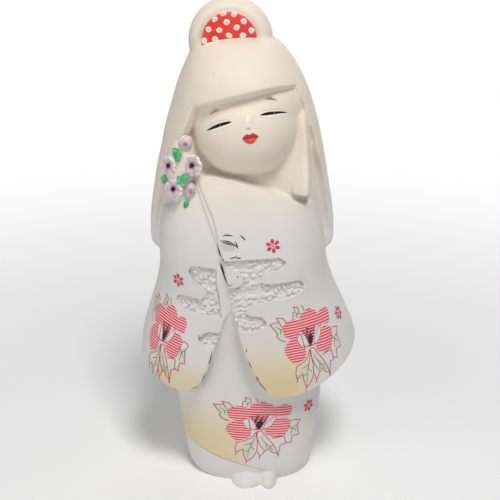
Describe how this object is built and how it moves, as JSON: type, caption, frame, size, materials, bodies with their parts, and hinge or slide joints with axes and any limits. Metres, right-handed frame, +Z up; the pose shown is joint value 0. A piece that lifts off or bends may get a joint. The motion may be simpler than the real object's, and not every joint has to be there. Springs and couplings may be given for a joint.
{
  "type": "clay doll",
  "caption": "Standing moulded clay doll in a long-sleeved kimono, with long hair, a bun, hair flowers and one foot under the hem, hollow with a vent hole in its flat base.",
  "frame": {"origin": "middle of the bounding box in X and Y, at the level of the flat base", "axes": "+Z up through the figure, -Y is the doll's front, +X is to the right in a front view"},
  "size_m": [0.126, 0.0856, 0.2809],
  "materials": {
    "white_clay": "matt chalk-white ground on fired clay, with painted details"
  },
  "bodies": {
    "root": {"doll": "white_clay"}
  },
  "joints": []
}
